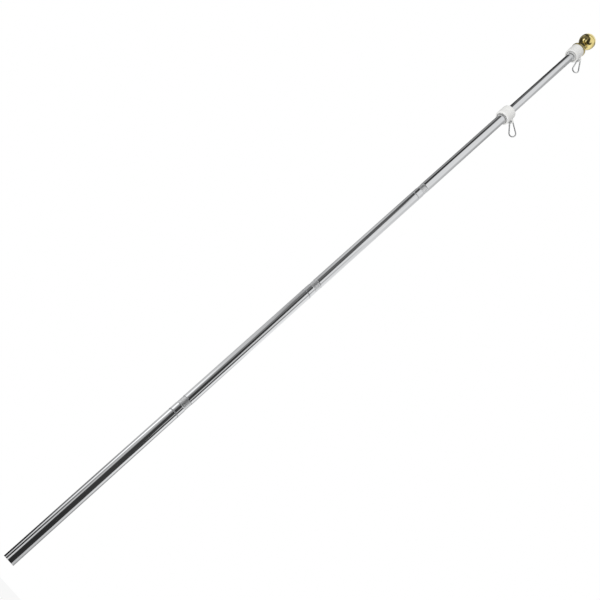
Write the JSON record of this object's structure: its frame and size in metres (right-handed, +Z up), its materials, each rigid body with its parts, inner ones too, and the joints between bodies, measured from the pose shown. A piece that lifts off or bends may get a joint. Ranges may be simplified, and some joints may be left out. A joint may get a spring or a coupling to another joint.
{
  "type": "sectional flagpole",
  "caption": "Slim sectional stainless flagpole for a wall or rail bracket, with free-turning white flag rings, snap hooks and a gold ball finial.",
  "frame": {"origin": "centre of the flat end of the pole's foot", "axes": "+Z up along the pole's axis, +X towards the eye of the upper flag ring"},
  "size_m": [0.0843, 0.047, 2.0515],
  "materials": {
    "polished_stainless": "mirror-polished stainless steel tube",
    "turned_aluminium": "turned and threaded aluminium coupling",
    "white_nylon": "injection-moulded white nylon",
    "hook_wire": "bent and tumbled stainless wire",
    "gold_brass": "polished and lacquered brass",
    "grey_plug": "moulded polyethylene"
  },
  "bodies": {
    "pole": {"foot_plug": "grey_plug", "tube_1": "polished_stainless", "tube_2": "polished_stainless", "tube_3": "polished_stainless", "tube_4": "polished_stainless", "tube_5": "polished_stainless", "socket_1": "turned_aluminium", "socket_2": "turned_aluminium", "socket_3": "turned_aluminium", "socket_4": "turned_aluminium", "stud_1": "turned_aluminium", "stud_2": "turned_aluminium", "stud_3": "turned_aluminium", "reducer_hub": "turned_aluminium", "finial_plug": "turned_aluminium", "finial_socket": "gold_brass", "finial_ball": "gold_brass", "lower_bush": "white_nylon", "upper_bush": "white_nylon"},
    "lower_ring": {"lower_ring": "white_nylon"},
    "lower_hook": {"lower_hook": "hook_wire", "lower_rivet": "hook_wire"},
    "lower_gate": {"lower_gate": "hook_wire"},
    "upper_ring": {"upper_ring": "white_nylon"},
    "upper_hook": {"upper_hook": "hook_wire", "upper_rivet": "hook_wire"},
    "upper_gate": {"upper_gate": "hook_wire"}
  },
  "joints": [
    {"name": "lower_ring_spin", "type": "hinge", "parent": "pole", "child": "lower_ring", "pos_m": [0, 0, 1.6015], "axis": [0, 0, 1], "continuous": true},
    {"name": "lower_hook_swing", "type": "hinge", "parent": "lower_ring", "child": "lower_hook", "pos_m": [0.02685, -0.00282, 1.6055], "axis": [0.1045, 0.9945, 0], "range_deg": [-90, 20]},
    {"name": "lower_gate_open", "type": "hinge", "parent": "lower_hook", "child": "lower_gate", "pos_m": [0.02809, -0.00113, 1.59811], "axis": [-0.3169, -0.9116, -0.262], "range_deg": [0, 28], "stiffness_Nm_per_rad": 0.02, "springref_deg": -14.32},
    {"name": "upper_ring_spin", "type": "hinge", "parent": "pole", "child": "upper_ring", "pos_m": [0, 0, 1.956], "axis": [0, 0, 1], "continuous": true},
    {"name": "upper_hook_swing", "type": "hinge", "parent": "upper_ring", "child": "upper_hook", "pos_m": [0.027, 0, 1.96], "axis": [0, 1, 0], "range_deg": [-115, 5]},
    {"name": "upper_gate_open", "type": "hinge", "parent": "upper_hook", "child": "upper_gate", "pos_m": [0.03414, -0.00181, 1.9578], "axis": [0.2932, 0.9397, 0.1762], "range_deg": [0, 28], "stiffness_Nm_per_rad": 0.02, "springref_deg": -14.32}
  ]
}
